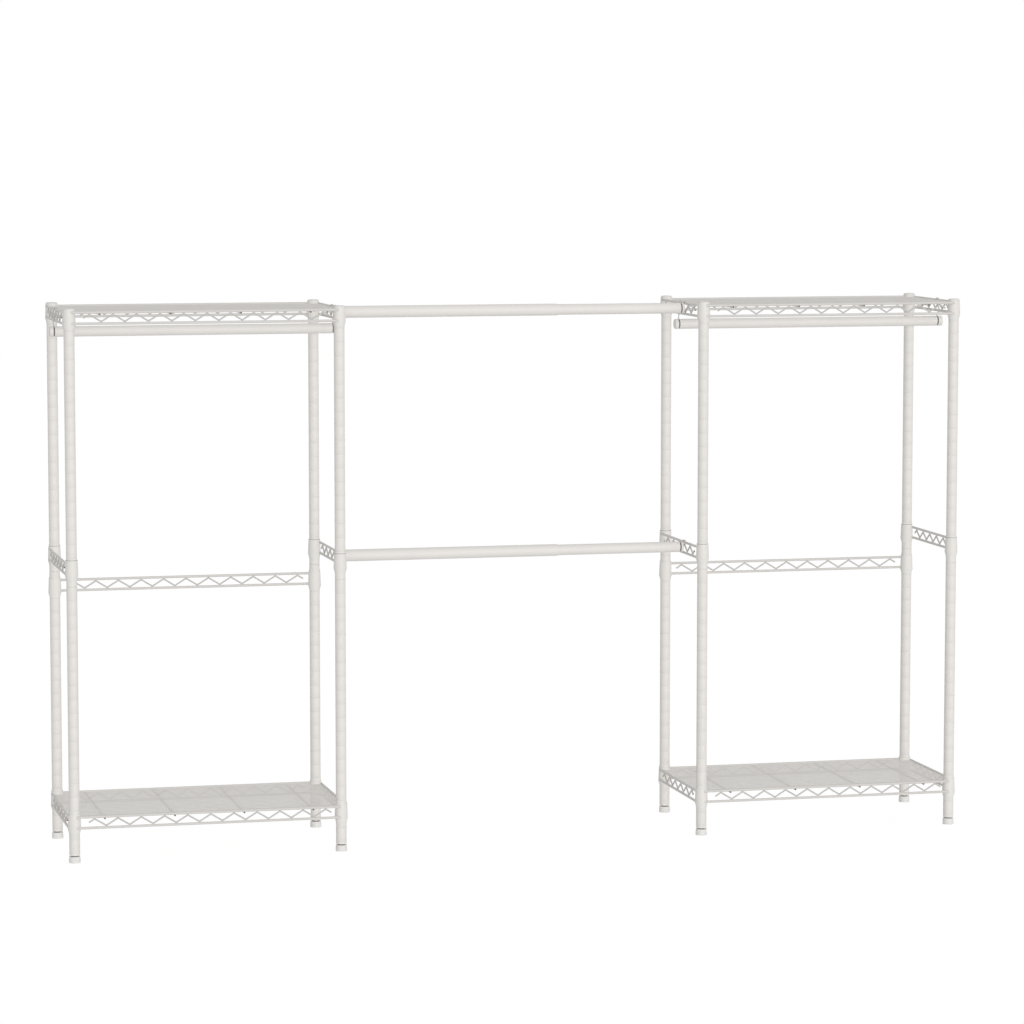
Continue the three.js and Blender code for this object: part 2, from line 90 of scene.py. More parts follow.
class Signal:
    """One output socket of a node tree, which can be used in Python expressions."""

    def __init__(self, tree, socket=None):
        self.tree = tree
        self.socket = socket

    def node(self, kind, inputs=None, out=0, **settings):
        """Adds a node and gives its output. Settings come first, then values or links."""
        made = self.tree.nodes.new(kind)
        for key, value in settings.items():
            setattr(made, key, value)
        for key, value in (inputs or {}).items():
            if isinstance(value, Signal):
                self.tree.links.new(value.socket, made.inputs[key])
            else:
                made.inputs[key].default_value = value
        return Signal(self.tree, made.outputs[out] if made.outputs else None)

    def __getitem__(self, name):
        return Signal(self.tree, self.socket.node.outputs[name])

    def maths(self, operation, first, second):
        values = {0: first, 1: second}
        return self.node("ShaderNodeMath", values, operation=operation)

    def __add__(self, other):
        return self.maths("ADD", self, other)

    def __sub__(self, other):
        return self.maths("SUBTRACT", self, other)

    def __mul__(self, other):
        return self.maths("MULTIPLY", self, other)

    def __truediv__(self, other):
        return self.maths("DIVIDE", self, other)

    def __mod__(self, other):
        return self.maths("FLOORED_MODULO", self, other)

    def __rsub__(self, other):
        return self.maths("SUBTRACT", other, self)

    __radd__ = __add__
    __rmul__ = __mul__

    def equals(self, number):
        """One where a whole number is the given one, and zero elsewhere."""
        within = 0.5
        values = {0: self, 1: number, 2: within}
        return self.node("ShaderNodeMath", values, operation="COMPARE")


def shader_start(owner):
    """Clears a material's or world's node tree and gives a Signal to build on."""
    owner.use_nodes = True
    owner.node_tree.nodes.clear()
    return Signal(owner.node_tree)


def seen_directly(start):
    """One for rays from the camera, and for those it sees by way of gloss or glass."""
    path = start.node("ShaderNodeLightPath", out="Is Camera Ray")
    return path + path["Is Glossy Ray"] + path["Is Transmission Ray"]


bpy.context.scene.view_settings.view_transform = "Standard"
surround = bpy.data.worlds.new("surround")
bpy.context.scene.world = surround
start = shader_start(surround)
sky = start.node(
    "ShaderNodeMixShader",
    {
        0: seen_directly(start),
        1: start.node("ShaderNodeBackground", {"Strength": SURROUND_STRENGTH, "Color": WHITE}),
        2: start.node("ShaderNodeBackground", {"Strength": 1.0, "Color": WHITE}),
    },
)
start.node("ShaderNodeOutputWorld", {"Surface": sky})

fill = bpy.data.lights.new("front_fill", "SUN")
fill.energy = FILL_STRENGTH
fill.angle = FILL_SOFTNESS
fill.use_shadow = False
stand("front_fill", fill, FILL_PLACE, (math.pi / 2 - FILL_RISE, 0, FILL_TURN))

sweep = bpy.data.materials.new("white_sweep")
start = shader_start(sweep)
matt = start.node("ShaderNodeBsdfDiffuse", {"Color": FLOOR_WHITE})
glow = start.node("ShaderNodeEmission", {"Strength": FLOOR_GLOW})
glow_share = seen_directly(start) * FLOOR_GLOW_SHARE
look = start.node("ShaderNodeMixShader", {0: glow_share, 1: matt, 2: glow})
start.node("ShaderNodeOutputMaterial", {"Surface": look})

floor_mesh = bpy.data.meshes.new("studio_floor")
floor_sides = [(-1, -1), (1, -1), (1, 1), (-1, 1)]
floor_corners = [(x * FLOOR_REACH, y * FLOOR_REACH, 0) for x, y in floor_sides]
floor_mesh.from_pydata(floor_corners, [], [(0, 1, 2, 3)])
floor_mesh.materials.append(sweep)
stand("studio_floor", floor_mesh, (0, 0, 0))


# Levelling feet
# A moulded off-white cup that flares to its foot, round a steel stud that screws into the
# bottom of the post. Its narrow neck leaves a thin gap under the post, drawn in painted shade.
FOOT_BASE_RADIUS = 0.0207
FOOT_TOP_RADIUS = 0.0197
FOOT_HEIGHT = 0.0225
FOOT_NECK_RADIUS = 0.0120
FOOT_NECK_CLEAR = 0.0003  # between the neck and the post tube's end
FOOT_RIDGE = 0.0006  # how far the bead stands out of the flare
FOOT_RIDGE_SHARES = (0.30, 0.36, 0.42)  # of the cup's height
FOOT_EDGE = 0.0012
FOOT_HOLLOW_DEPTH = 0.0012  # recess under the cup
FOOT_HOLLOW_SHARE = 0.8
STUD_RADIUS = 0.005
STUD_THREAD_PITCH = 0.0015
STUD_THREAD_DEPTH = 0.0006
FOOT_SIDES = 64
STUD_SIDES = 18
THREAD_STEPS = 6  # rings of vertices for each turn of the thread
TINT_PLASTIC = (0.80, 0.79, 0.765)
TINT_SHADED = (0.20, 0.19, 0.18)  # painted shade for stock deep in a narrow gap, where the light doesn't reach
TINT_ZINC = (0.62, 0.62, 0.60)
FLOW_SCALE = 34  # flow marks of a few centimetres
FLOW_TONES = (0.95, 1.03)
GRAIN_SCALE = 2600  # spark grain finer than half a millimetre
GRAIN_DEPTH = 0.00008
SCUFF_SCALE = 210
SCUFF_RANGE = (0.60, 0.78)  # of the noise, from clean to scuffed
SCUFF_TONE = 0.84
SPANGLE_SCALE = 480
SPANGLE_TONES = (0.86, 1.08)
CORNER_SHARE = 0.45  # the most of a side that one rounded corner may take
UNTURNED = Matrix.Identity(4)
TOWERS = {"left": -1, "right": 1}
COLUMNS = ("outer", "inner")
ROWS = ("front", "back")
CORNERS = [(tower, column, row) for tower in TOWERS for column in COLUMNS for row in ROWS]
CREASE = math.radians(32)  # edges that bend more than this stay crisp


def eased(points, bend, steps=3, closed=False):
    """A path with its corners rounded. The bend is how far from the corner a curve begins."""
    smooth = []
    count = len(points)
    for i, point in enumerate(points):
        if not closed and i in (0, count - 1):
            smooth.append(point)
            continue
        towards = points[i - 1] - point
        onwards = points[(i + 1) % count] - point
        reach = min(bend, towards.length * CORNER_SHARE, onwards.length * CORNER_SHARE)
        begin = point + towards.normalized() * reach
        end = point + onwards.normalized() * reach
        for step in range(steps + 1):
            t = step / steps
            smooth.append(begin * (1 - t) ** 2 + point * 2 * t * (1 - t) + end * t * t)
    return smooth


def crisp(bm, name, *finishes):
    """Closes a shape in its materials: faces outwards, smooth, sharp where it bends hard."""
    bmesh.ops.recalc_face_normals(bm, faces=bm.faces)
    for face in bm.faces:
        face.smooth = True
    for edge in bm.edges:
        edge.smooth = edge.calc_face_angle(0) < CREASE
    mesh = bpy.data.meshes.new(name)
    bm.to_mesh(mesh)
    bm.free()
    for finish in finishes:
        mesh.materials.append(finish)
    return mesh


def turned(name, outline, sides, finish, sweep=math.tau, radius_at=None):
    """A body turned about Z from an outline of (radius, height) points.

    The outline starts and ends on the axis, or closes on itself. A sweep under a full turn
    gets flat ends. radius_at changes a radius by height and angle.
    """
    bm = bmesh.new()
    whole = sweep == math.tau
    spokes = sides if whole else sides + 1
    rings = []
    for radius, height in outline:
        if radius == 0:
            rings.append([bm.verts.new((0, 0, height))] * spokes)
            continue
        ring = []
        for i in range(spokes):
            angle = sweep * i / sides
            r = radius_at(radius, height, angle) if radius_at else radius
            ring.append(bm.verts.new((r * math.cos(angle), r * math.sin(angle), height)))
        rings.append(ring)
    pairs = list(zip(rings, rings[1:]))
    on_axis = outline[0][0] == 0
    if not on_axis:
        pairs.append((rings[-1], rings[0]))
    for lower, upper in pairs:
        for i in range(sides):
            j = (i + 1) % spokes
            corners = [lower[i], lower[j], upper[j], upper[i]]
            face = [v for k, v in enumerate(corners) if v not in corners[:k]]
            if len(face) > 2:
                bm.faces.new(face)
    if not whole:
        for end in (0, sides):
            bm.faces.new([ring[end] for ring in rings])
    return crisp(bm, name, finish)


def welded(name, parts):
    """Several shapes as one mesh. Each keeps its own materials and gets its own placing."""
    bm = bmesh.new()
    mesh = bpy.data.meshes.new(name)
    for shape, placing in parts:
        copy = shape.copy()
        copy.transform(placing)
        for face in copy.polygons:
            finish = copy.materials[face.material_index]
            if finish.name not in mesh.materials:
                mesh.materials.append(finish)
            face.material_index = mesh.materials.find(finish.name)
        bm.from_mesh(copy)
        bpy.data.meshes.remove(copy)
    bm.to_mesh(mesh)
    bm.free()
    return mesh


def piece(name, shape, body, stands_for=(), place=(0, 0, 0), turn=None):
    """Puts a copy of a shape in its place as a piece that rides on a body."""
    mesh = shape.copy()
    mesh.transform(Matrix.Translation(place) @ (turn or UNTURNED))
    mesh.name = name
    thing = bpy.data.objects.new(name, mesh)
    bpy.context.scene.collection.objects.link(thing)
    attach(thing, body)
    if stands_for:
        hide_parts(*stands_for)
    return thing


def axis_of(node):
    """Where a node's upright axis stands, as (x, y)."""
    low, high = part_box(node)
    return (low.x + high.x) / 2, (low.y + high.y) / 2


def noise(place, scale, detail=2.0, roughness=0.5):
    """Soft random tones between 0 and 1. A higher scale gives smaller spots."""
    settings = {"Vector": place, "Scale": scale, "Detail": detail, "Roughness": roughness}
    return place.node("ShaderNodeTexNoise", settings, noise_dimensions="3D", out="Fac")


def blended(share, first, second):
    """A colour between two others."""
    values = {"Factor": share, 6: first, 7: second}
    return share.node("ShaderNodeMix", values, out=2, data_type="RGBA", clamp_factor=True)


def ranged(value, low, high):
    """A value that is 0 at low and below and 1 at high and above, with soft ends."""
    values = {"Value": value, "From Min": low, "From Max": high}
    return value.node("ShaderNodeMapRange", values, interpolation_type="SMOOTHSTEP")


def shade_of(tint, share):
    """A tint made darker or lighter by a share, as a colour with alpha."""
    return (tint[0] * share, tint[1] * share, tint[2] * share, 1)


def toned(share, tint, tones):
    """A tint that goes from one tone to another, each a share of its brightness."""
    return blended(share, *(shade_of(tint, tone) for tone in tones))


def blank_material(name):
    """A new material, and the place on the piece that its patterns follow."""
    material = bpy.data.materials.new(name)
    return material, shader_start(material).node("ShaderNodeTexCoord", out="Object")


def surfaced(place, look):
    """Ends a material's node tree with a surface that has the given look."""
    surface = place.node("ShaderNodeBsdfPrincipled", look)
    place.node("ShaderNodeOutputMaterial", {"Surface": surface})


def moulded_plastic(name, tint):
    """Matt injection moulding: a fine spark grain, faint flow marks and scuffed spots."""
    material, place = blank_material(name)
    flow = noise(place, FLOW_SCALE, 3.0)
    grain = noise(place, GRAIN_SCALE)
    scuffs = ranged(noise(place, SCUFF_SCALE, 4.0, 0.7), *SCUFF_RANGE)
    tone = toned(flow, tint, FLOW_TONES)
    relief = {"Height": grain, "Strength": 0.25, "Distance": GRAIN_DEPTH}
    look = {
        "Base Color": blended(scuffs * 0.35, tone, shade_of(tint, SCUFF_TONE)),
        "Roughness": 0.52 + flow * 0.10 + scuffs * 0.12,
        "Normal": place.node("ShaderNodeBump", relief),
        "Specular IOR Level": 0.4,
    }
    surfaced(place, look)
    return material


def threaded(radius, height, angle):
    """Radius on a screw thread: a triangular ridge that climbs as it goes round."""
    turns = height / STUD_THREAD_PITCH - angle / math.tau
    return radius - STUD_THREAD_DEPTH * abs(2 * (turns % 1) - 1)


def zinc_plated(name, tint):
    """Bright zinc on steel: a fine spangle and a slightly uneven passivated tone."""
    material, place = blank_material(name)
    spangle = noise(place, SPANGLE_SCALE)
    look = {
        "Base Color": toned(spangle, tint, SPANGLE_TONES),
        "Roughness": 0.28 + spangle * 0.18,
        "Metallic": 1.0,
    }
    surfaced(place, look)
    return material


foot_plastic = moulded_plastic("foot_plastic", TINT_PLASTIC)
shaded_plastic = moulded_plastic("shaded_plastic", TINT_SHADED)
stud_zinc = zinc_plated("stud_zinc", TINT_ZINC)
foot_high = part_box("left_outer_front_foot")[1]
post_low, post_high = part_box("left_outer_front_lower_post")
foot_neck_top = post_low.z - FOOT_NECK_CLEAR


def flare(share):
    """Radius of the foot's flared side at a share of its height."""
    return FOOT_BASE_RADIUS + (FOOT_TOP_RADIUS - FOOT_BASE_RADIUS) * share


hollow_radius = FOOT_BASE_RADIUS * FOOT_HOLLOW_SHARE
ridge_start, ridge_crest, ridge_end = FOOT_RIDGE_SHARES
foot_outline = [
    Vector((0, FOOT_HOLLOW_DEPTH)),
    Vector((hollow_radius, FOOT_HOLLOW_DEPTH)),
    Vector((hollow_radius, 0)),
    Vector((FOOT_BASE_RADIUS, 0)),
    Vector((flare(ridge_start), FOOT_HEIGHT * ridge_start)),
    Vector((flare(ridge_crest) + FOOT_RIDGE, FOOT_HEIGHT * ridge_crest)),
    Vector((flare(ridge_end), FOOT_HEIGHT * ridge_end)),
    Vector((FOOT_TOP_RADIUS, FOOT_HEIGHT)),
    Vector((0, FOOT_HEIGHT)),
]
cup_shape = turned("foot_cup", eased(foot_outline, FOOT_EDGE), FOOT_SIDES, foot_plastic)
neck_outline = [
    (0, FOOT_HEIGHT),
    (FOOT_NECK_RADIUS, FOOT_HEIGHT),
    (FOOT_NECK_RADIUS, foot_neck_top),
    (0, foot_neck_top),
]
# The neck is drawn in painted shade.
neck_shape = turned("foot_neck", neck_outline, FOOT_SIDES, shaded_plastic)
foot_shape = welded("levelling_foot", [(cup_shape, UNTURNED), (neck_shape, UNTURNED)])
stud_length = foot_high.z - foot_neck_top
thread_rings = round(stud_length / STUD_THREAD_PITCH) * THREAD_STEPS
stud_outline = [(0, foot_neck_top)]
for i in range(thread_rings + 1):
    stud_outline.append((STUD_RADIUS, foot_neck_top + stud_length * i / thread_rings))
stud_outline.append((0, foot_high.z))
stud_shape = turned("foot_stud", stud_outline, STUD_SIDES, stud_zinc, radius_at=threaded)
for tower, column, row in CORNERS:
    name = f"{tower}_{column}_{row}_foot"
    body = f"{tower}_{column}_{row}_leveller"
    x, y = axis_of(name)
    piece(f"{name}_cup", foot_shape, body, [name], (x, y, 0))
    piece(f"{name}_stud", stud_shape, body, (), (x, y, 0))


# Posts
# Steel tube with a ring groove rolled in every 50 millimetres, in which the shelf sleeves
# clip. Each post is two tubes: the upper one's reduced end slips into the lower one.
POST_RADIUS = 0.019
TUBE_WALL = 0.0012
GROOVE_PITCH = 0.050
FIRST_GROOVE = 0.036
GROOVE_WIDTH = 0.0022
GROOVE_DEPTH = 0.0004
GROOVE_PROFILE = ((-0.5, 0), (-0.25, 0.75), (0, 1), (0.25, 0.75), (0.5, 0))  # shares of width, depth
GROOVE_SHADE = 0.17  # share of painted shade in the bottom of a groove
GROOVE_SHADE_SPREAD = (0.2, 0.55)  # from full to none, in groove widths from its middle
TUBE_EDGE = 0.0007
SEAM_EDGE = 0.0009
SPIGOT_LENGTH = 0.030
INSERT_LENGTH = 0.020
POST_SIDES = 40
FIT_GAP = 0.0003  # between parts that fit in each other
POST_SHORT = 0.0015  # the dark gap above the foot sits this much higher than in the solids
TINT_COAT = (0.80, 0.775, 0.745)
DRIFT_SCALE = 7  # slow changes of tone over a hand's width
MOTTLE_SCALE = 95
COAT_TONES = (0.955, 1.03)
PEEL_SCALE = 620  # orange peel about a millimetre and a half across
PEEL_DEPTH = 0.00012
SPECK_SCALE = 900
SPECK_RANGE = (0.74, 0.80)  # of the noise, from clean to specked
SPECK_TONE = 0.62
# darkest painted shade, as a share of the coat's tint
SHADE_TONE = 0.60


def powder_coat(name, tint, shade_at=None):
    """Warm white satin powder, baked on after welding: it dries with a fine orange peel.

    Its tone wanders slightly. A shade mask, where given, paints shade into the coat by its share.
    """
    material, place = blank_material(name)
    drift = noise(place, DRIFT_SCALE)
    mottle = noise(place, MOTTLE_SCALE, 3.0, 0.6)
    peel = noise(place, PEEL_SCALE, 1.5)
    specks = ranged(noise(place, SPECK_SCALE, 1.0, 0.4), *SPECK_RANGE)
    tone = toned(drift * 0.6 + mottle * 0.4, tint, COAT_TONES)
    colour = blended(specks * 0.18, tone, shade_of(tint, SPECK_TONE))
    # painted shade, where a mask for it is given
    if shade_at:
        colour = blended(shade_at(place), colour, shade_of(tint, SHADE_TONE))
    relief = {"Height": peel, "Strength": 0.35, "Distance": PEEL_DEPTH}
    look = {
        "Base Color": colour,
        "Roughness": 0.44 + mottle * 0.12 + specks * 0.1,
        "Normal": place.node("ShaderNodeBump", relief),
        "Specular IOR Level": 0.35,
    }
    surfaced(place, look)
    return material


def painted_groove_shade(place):
    """Painted shade in the bottom of each ring groove, as a share of darker coat."""
    full, none = (GROOVE_WIDTH * share for share in GROOVE_SHADE_SPREAD)
    height = place.node("ShaderNodeSeparateXYZ", {0: place}, out="Z")
    phase = (height - FIRST_GROOVE + GROOVE_PITCH / 2) % GROOVE_PITCH - GROOVE_PITCH / 2
    away = phase.node("ShaderNodeMath", {0: phase}, operation="ABSOLUTE")
    return (1 - ranged(away, full, none)) * GROOVE_SHADE


post_coat = powder_coat("post_coat", TINT_COAT, painted_groove_shade)


def grooved(bottom, top):
    """The outer side of a post tube between two heights, with its ring grooves."""
    side = []
    step = math.ceil((bottom + GROOVE_WIDTH - FIRST_GROOVE) / GROOVE_PITCH)
    while FIRST_GROOVE + step * GROOVE_PITCH < top - GROOVE_WIDTH:
        middle = FIRST_GROOVE + step * GROOVE_PITCH
        for across, depth in GROOVE_PROFILE:
            side.append((POST_RADIUS - GROOVE_DEPTH * depth, middle + GROOVE_WIDTH * across))
        step += 1
    return side


seam = post_high.z
post_bottom = post_low.z + POST_SHORT
post_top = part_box("left_outer_front_upper_post")[1].z
bore = POST_RADIUS - TUBE_WALL
spigot = bore - FIT_GAP
lower_outline = [
    (bore, post_low.z + INSERT_LENGTH),
    (STUD_RADIUS + FIT_GAP, post_low.z + INSERT_LENGTH),
    (STUD_RADIUS + FIT_GAP, post_bottom),
    (POST_RADIUS - TUBE_EDGE, post_bottom),
    (POST_RADIUS, post_bottom + TUBE_EDGE),
    *grooved(post_bottom, seam),
    (POST_RADIUS, seam - SEAM_EDGE),
    (POST_RADIUS - SEAM_EDGE, seam),
    (bore, seam),
]
upper_bottom = seam + FIT_GAP
upper_outline = [
    (spigot - TUBE_WALL, upper_bottom - SPIGOT_LENGTH),
    (spigot - TUBE_EDGE, upper_bottom - SPIGOT_LENGTH),
    (spigot, upper_bottom - SPIGOT_LENGTH + TUBE_EDGE),
    (spigot, upper_bottom),
    (POST_RADIUS - SEAM_EDGE, upper_bottom),
    (POST_RADIUS, upper_bottom + SEAM_EDGE),
    *grooved(upper_bottom, post_top),
    (POST_RADIUS, post_top - TUBE_EDGE),
    (POST_RADIUS - TUBE_EDGE, post_top),
    (bore, post_top),
    (bore, upper_bottom + TUBE_WALL),
    (spigot - TUBE_WALL, upper_bottom + TUBE_WALL),
]
lower_post_shape = turned("lower_post", lower_outline, POST_SIDES, post_coat)
upper_post_shape = turned("upper_post", upper_outline, POST_SIDES, post_coat)
for tower, column, row in CORNERS:
    x, y = axis_of(f"{tower}_{column}_{row}_foot")
    for half, shape in (("lower", lower_post_shape), ("upper", upper_post_shape)):
        name = f"{tower}_{column}_{row}_{half}_post"
        piece(f"{name}_tube", shape, f"{tower}_tower", [name], (x, y, 0))


# Post caps
# A push-in moulding with a low dome. Its plug grips the inside of the post, and its rim,
# a little wider than the tube, sits on the post's end.
CAP_RADIUS = 0.0202
CAP_RIM = 0.00108  # height of its upright side
CAP_CROWN = 0.0040
CAP_FULLNESS = 0.45  # the lower, the fuller the dome's shoulder
CAP_SEAT_RADIUS = 0.0175
CAP_PLUG_DEPTH = 0.012
CAP_DOME_STEPS = 9
cap_plastic = moulded_plastic("cap_plastic", TINT_PLASTIC)
cap_seat = post_top + FIT_GAP
cap_outline = [
    (0, cap_seat - CAP_PLUG_DEPTH),
    (CAP_SEAT_RADIUS, cap_seat - CAP_PLUG_DEPTH),
    (CAP_SEAT_RADIUS, cap_seat),
    (CAP_RADIUS, cap_seat),
]
for i in range(CAP_DOME_STEPS):
    lean = math.pi / 2 * i / CAP_DOME_STEPS
    height = cap_seat + CAP_RIM + (CAP_CROWN - CAP_RIM) * math.sin(lean)
    cap_outline.append((CAP_RADIUS * math.cos(lean) ** CAP_FULLNESS, height))
cap_outline.append((0, cap_seat + CAP_CROWN))
cap_shape = turned("post_cap", cap_outline, FOOT_SIDES, cap_plastic)
for tower, column, row in CORNERS:
    name = f"{tower}_{column}_{row}_cap"
    x, y = axis_of(name)
    piece(f"{name}_dome", cap_shape, f"{tower}_tower", [name], (x, y, 0))


# Collars and sleeves
# At each corner a tapered steel collar is welded to the wires. It wedges over a two-part
# plastic sleeve that is clipped in a post groove, wider at the bottom, so load locks it.
COLLAR_ABOVE = 0.0105  # over the upper wire's axis
COLLAR_BELOW = 0.007  # under the lower wire's axis
TRUSS_RISE = 0.039  # between the axes of a truss's straight wires
SLEEVE_TOP_WALL = 0.0012
SLEEVE_WALL = 0.0035
SLEEVE_TAIL = 0.0135
SLEEVE_LIP = 0.0050  # how far the sleeve shows above the collar
SLEEVE_LIP_GAP = 0.0012  # half the snap groove that lies level with the collar's top
SLEEVE_GROOVE_WALL = 0.0006  # of the sleeve at the bottom of that groove
SLEEVE_SPLIT = math.radians(3)  # gap between the sleeve's halves
SLEEVE_SLACK = 0.0001
SLEEVE_END_WALL = 0.0006
COLLAR_WALL = 0.001
COLLAR_ROLL = 0.0006
COLLAR_SIDES = 48
collar_bottom = -TRUSS_RISE - COLLAR_BELOW
collar_top = COLLAR_ABOVE
collar_coat = powder_coat("collar_coat", TINT_COAT)


def cone(height):
    """Radius of the collar's bore at a height over the upper wire's axis."""
    taper = (SLEEVE_WALL - SLEEVE_TOP_WALL) / (collar_top - collar_bottom)
    return POST_RADIUS + FIT_GAP + SLEEVE_TOP_WALL + taper * (collar_top - height)


collar_outline = [
    Vector((cone(collar_bottom), collar_bottom)),
    Vector((cone(collar_bottom) + COLLAR_WALL, collar_bottom)),
    Vector((cone(collar_top) + COLLAR_WALL, collar_top)),
    Vector((cone(collar_top), collar_top)),
]
rolled_outline = eased(collar_outline, COLLAR_ROLL, closed=True)
collar_shape = turned("collar", rolled_outline, COLLAR_SIDES, collar_coat)
sleeve_inner = POST_RADIUS + SLEEVE_SLACK
sleeve_body = [
    (sleeve_inner, collar_bottom - SLEEVE_TAIL),
    (POST_RADIUS + SLEEVE_END_WALL, collar_bottom - SLEEVE_TAIL),
    (cone(collar_bottom) - FIT_GAP, collar_bottom),
    (cone(collar_top) - FIT_GAP, collar_top - SLEEVE_LIP_GAP),
]
sleeve_lip = [
    (sleeve_inner + SLEEVE_SLACK, collar_top - SLEEVE_LIP_GAP),
    (sleeve_inner + SLEEVE_SLACK, collar_top + SLEEVE_LIP_GAP),
    (POST_RADIUS + SLEEVE_TOP_WALL, collar_top + SLEEVE_LIP_GAP),
    (POST_RADIUS + SLEEVE_TOP_WALL, collar_top + SLEEVE_LIP - SLEEVE_LIP_GAP),
    (POST_RADIUS + SLEEVE_TOP_WALL / 2, collar_top + SLEEVE_LIP),
]
half_sweep = math.pi - SLEEVE_SPLIT


def sleeve(name, outline, finish):
    """The two halves of a split sleeve, from one half's outline."""
    closed = outline + [(sleeve_inner, outline[-1][1])]
    half_shape = turned(name, closed, COLLAR_SIDES // 2, finish, sweep=half_sweep)
    turns = (SLEEVE_SPLIT / 2, SLEEVE_SPLIT / 2 + math.pi)
    return welded(name, [(half_shape, Matrix.Rotation(turn, 4, "Z")) for turn in turns])


# The floor of the snap groove above the collar, drawn in painted shade
sleeve_groove = [
    (sleeve_inner, collar_top - SLEEVE_LIP_GAP),
    (POST_RADIUS + SLEEVE_GROOVE_WALL, collar_top - SLEEVE_LIP_GAP),
    (POST_RADIUS + SLEEVE_GROOVE_WALL, collar_top + SLEEVE_LIP_GAP),
]
lipped_sleeve = sleeve("lipped_sleeve", sleeve_body + sleeve_lip, cap_plastic)
dark_groove = sleeve("dark_groove", sleeve_groove, shaded_plastic)
open_sleeve = welded("open_sleeve", [(lipped_sleeve, UNTURNED), (dark_groove, UNTURNED)])
flush_sleeve = sleeve("flush_sleeve", sleeve_body, cap_plastic)


# Wire trusses
# Two straight wires with a zigzag wire welded between them. The zigzag is bent from one
# length of thinner wire, and each bend is fused to the straight wire with a small bead.
FRAME_WIRE_RADIUS = 0.0046
ZIGZAG_RADIUS = 0.0029
TRUSS_OUTSET = 0.0195  # from the post axes out to the wires' axes
WIRE_END_SHORT = 0.0045  # how far the straight wires end before the post axes
LONG_PEAKS = 11
LONG_INSET = 0.065  # first and last peak from the post axes, before the shift
LONG_SHIFT = 0.0045  # the long zigzags sit off centre, toward +X
SIDE_PEAKS = 6
SIDE_INSET = 0.063
SIDE_SHIFT = -0.0045  # off centre, toward the back on the +X side and the front on the -X side
WELD_SINK = 0.0006  # how far welded wires sink into each other
ZIGZAG_BEND = 0.0035
WIRE_SIDES = 16
ZIGZAG_SIDES = 12
BEND_STEPS = 4
BEAD_SIZE = (0.0036, 0.0017, 0.0012)  # half sizes, along, across and up
BEAD_SPLITS = 3
# The wires wear the posts' own coat. These darker copies of it are painted shade, deepest on the
# thin zigzag and cross wires.
TINT_WIRE_SHADED = tuple(0.85 * part for part in TINT_COAT)
TINT_THIN_WIRE_SHADED = tuple(0.74 * part for part in TINT_COAT)
TINT_END_SHADE = (0.12, 0.115, 0.11)  # painted shade on sheared wire ends
MERGE_REACH = 1e-7
SOCKETS = {float: "NodeSocketFloat", int: "NodeSocketInt", tuple: "NodeSocketVector"}
wire_coat = powder_coat("wire_coat", TINT_WIRE_SHADED)
shaded_thin_wire_coat = powder_coat("shaded_thin_wire_coat", TINT_THIN_WIRE_SHADED)
wire_end_shade = powder_coat("wire_end_shade", TINT_END_SHADE)
truss_tree = bpy.data.node_groups.new("wire_truss", "GeometryNodeTree")


def interface(tree, sizes):
    """Gives a geometry tree an input for each size and an output, and returns the inputs."""
    for label, value in sizes.items():
        tree.interface.new_socket(label, in_out="INPUT", socket_type=SOCKETS[type(value)])
    tree.interface.new_socket("Geometry", in_out="OUTPUT", socket_type="NodeSocketGeometry")
    return Signal(tree).node("NodeGroupInput")


def vector(x, y, z):
    """A vector from numbers and at least one Signal."""
    parts = {"X": x, "Y": y, "Z": z}
    known = next(part for part in (x, y, z) if isinstance(part, Signal))
    return known.node("ShaderNodeCombineXYZ", parts)


def round_wire(path, radius, sides):
    """A round wire along a curve, with closed ends."""
    ring = path.node("GeometryNodeCurvePrimitiveCircle", {"Resolution": sides, "Radius": radius})
    parts = {"Curve": path, "Profile Curve": ring, "Fill Caps": True}
    return path.node("GeometryNodeCurveToMesh", parts)


def straight(start, end):
    """A straight line as a curve."""
    return start.node("GeometryNodeCurvePrimitiveLine", {"Start": start, "End": end})


def together(*shapes):
    """Several geometries as one."""
    join = shapes[0].node("GeometryNodeJoinGeometry")
    for shape in shapes:
        shape.tree.links.new(shape.socket, join.socket.node.inputs[0])
    return join


def finished(*coats):
    """Ends a geometry tree: real meshes, each with the material it is paired with."""
    coated = []
    for geometry, material in coats:
        real = geometry.node("GeometryNodeRealizeInstances", {"Geometry": geometry})
        finish = {"Geometry": real, "Material": material}
        coated.append(real.node("GeometryNodeSetMaterial", finish))
    whole = together(*coated)
    whole.node("NodeGroupOutput", {0: whole})


def grown(name, tree, sizes):
    """Runs a geometry tree with the given sizes and returns the plain mesh that it makes."""
    host = bpy.data.objects.new(name, bpy.data.meshes.new(name))
    bpy.context.scene.collection.objects.link(host)
    modifier = host.modifiers.new("grown", "NODES")
    modifier.node_group = tree
    for item in tree.interface.items_tree:
        if item.in_out == "INPUT":
            modifier[item.identifier] = sizes[item.name]
    graph = bpy.context.evaluated_depsgraph_get()
    plain = bpy.data.meshes.new_from_object(host.evaluated_get(graph))
    host.modifiers.clear()
    bpy.data.objects.remove(host)
    bm = bmesh.new()
    bm.from_mesh(plain)
    bmesh.ops.remove_doubles(bm, verts=bm.verts, dist=MERGE_REACH)
    return crisp(bm, name, *plain.materials)


def paint_end_shade(mesh, sides):
    """Paints shade on sheared wire ends. They are the faces with that many sides."""
    coats = len(mesh.materials)
    mesh.materials.append(wire_end_shade)
    for face in mesh.polygons:
        if len(face.vertices) == sides:
            face.material_index = coats


